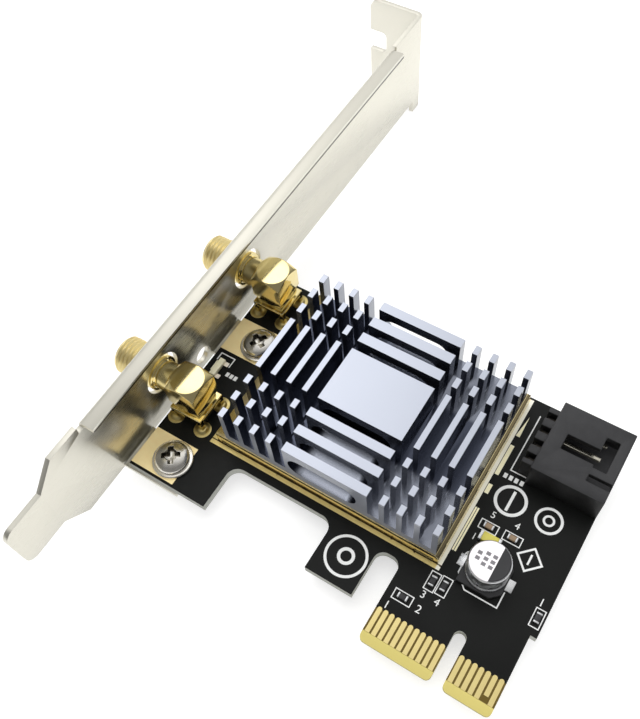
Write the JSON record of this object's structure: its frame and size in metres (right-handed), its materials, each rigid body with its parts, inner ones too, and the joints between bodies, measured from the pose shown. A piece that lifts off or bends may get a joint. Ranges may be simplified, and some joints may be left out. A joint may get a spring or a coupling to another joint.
{
  "type": "wireless network card",
  "caption": "Flat expansion card with a gold contact edge, cross-cut finned heatsink, threaded antenna jacks, side header and a tall folded slot bracket.",
  "frame": {"origin": "tip of the card edge, at the middle of the key notch, in the plane of the component face", "axes": "+X along the card edge away from the slot bracket, +Y away from the connector, +Z out of the component face"},
  "size_m": [0.079, 0.1188, 0.021],
  "materials": {
    "board_mask": "satin black solder mask over glass laminate",
    "gold_plating": "bright gold plating",
    "bracket_nickel": "nickel-plated sheet steel",
    "screw_nickel": "bright nickel",
    "jack_gold": "polished gold plating",
    "white_core": "white fluoropolymer",
    "solder": "bright tin solder",
    "tinned_can": "bright tinned steel",
    "black_chip": "matt black moulding",
    "grey_pad": "soft grey filled silicone",
    "anodised_grey": "satin blue-grey anodised",
    "black_plastic": "fine matt",
    "capacitor_sleeve": "satin aluminium with a printed top",
    "tan_ceramic": "matt ceramic",
    "fuse_yellow": "gloss",
    "led_cream": "clear cream resin"
  },
  "bodies": {
    "root": {"circuit_board": "board_mask", "edge_contacts_front": "gold_plating", "edge_contacts_back": "gold_plating", "ground_ring": "gold_plating", "side_strips": "gold_plating", "screw_pads": "gold_plating", "bracket": "bracket_nickel", "bracket_screws": "screw_nickel", "jack_lower_body": "jack_gold", "jack_upper_body": "jack_gold", "jack_lower_insulator": "white_core", "jack_upper_insulator": "white_core", "jack_lower_contact": "gold_plating", "jack_upper_contact": "gold_plating", "solder_joints": "solder", "shield_can": "tinned_can", "radio_chip": "black_chip", "inner_pad": "grey_pad", "amplifier_chips": "black_chip", "crystal": "tinned_can", "thermal_pad": "grey_pad", "heatsink": "anodised_grey", "data_header_housing": "black_plastic", "data_header_pins": "gold_plating", "capacitor_can": "capacitor_sleeve", "capacitor_base": "black_plastic", "capacitor_terminals": "solder", "chip_resistors": "black_chip", "chip_capacitors": "tan_ceramic", "chip_end_caps": "solder", "power_fuse": "fuse_yellow", "indicator_led": "led_cream", "led_terminals": "gold_plating"}
  },
  "joints": []
}
